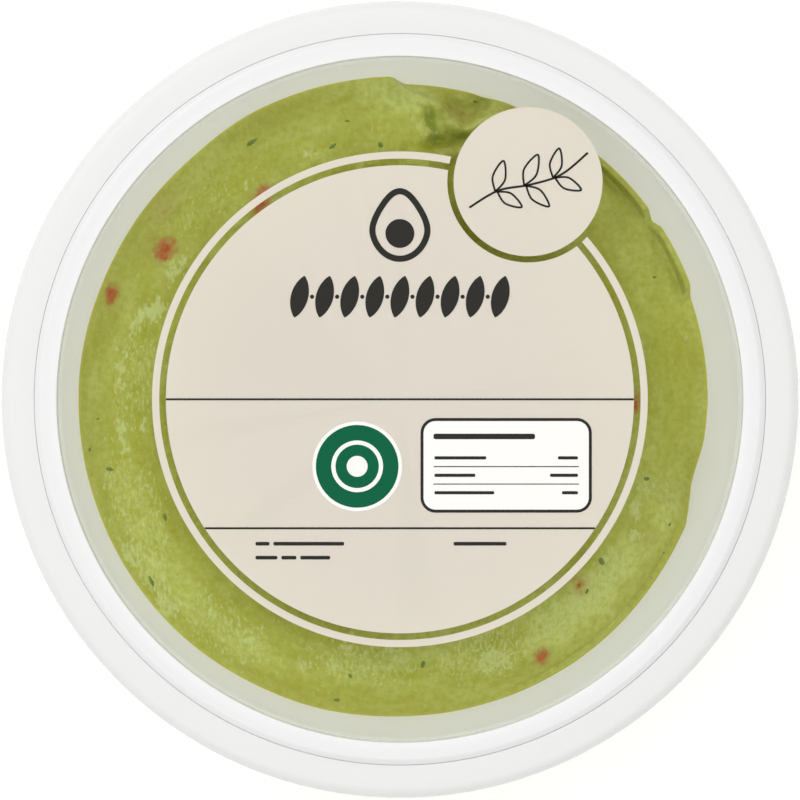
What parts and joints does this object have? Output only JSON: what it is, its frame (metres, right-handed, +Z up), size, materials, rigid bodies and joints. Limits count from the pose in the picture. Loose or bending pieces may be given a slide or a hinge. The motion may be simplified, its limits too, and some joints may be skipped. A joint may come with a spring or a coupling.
{
  "type": "lidded tub of guacamole",
  "caption": "Small round plastic tub filled with guacamole, with a wide turned-down rim and a clear snap-in lid that carries a plain printed disc, a thin ring and a small round badge.",
  "frame": {"origin": "centre of the tub's footprint, on the plane it stands on", "axes": "+Z up, through the lid; +Y towards the top of the printed disc as it is read from above; +X to its right, on the badge's side"},
  "size_m": [0.08, 0.08, 0.038],
  "materials": {
    "milky_plastic": "natural moulded polypropylene, satin, slightly see-through",
    "avocado_paste": "moist coarse paste with chilli and herb pieces",
    "clear_plastic": "clear moulded plastic, glossy",
    "cream_print": "flat printing ink, nearly opaque"
  },
  "bodies": {
    "root": {"tub": "milky_plastic", "guacamole": "avocado_paste", "lid": "clear_plastic", "print_disc": "cream_print", "print_hoop": "cream_print", "print_badge": "cream_print"}
  },
  "joints": []
}
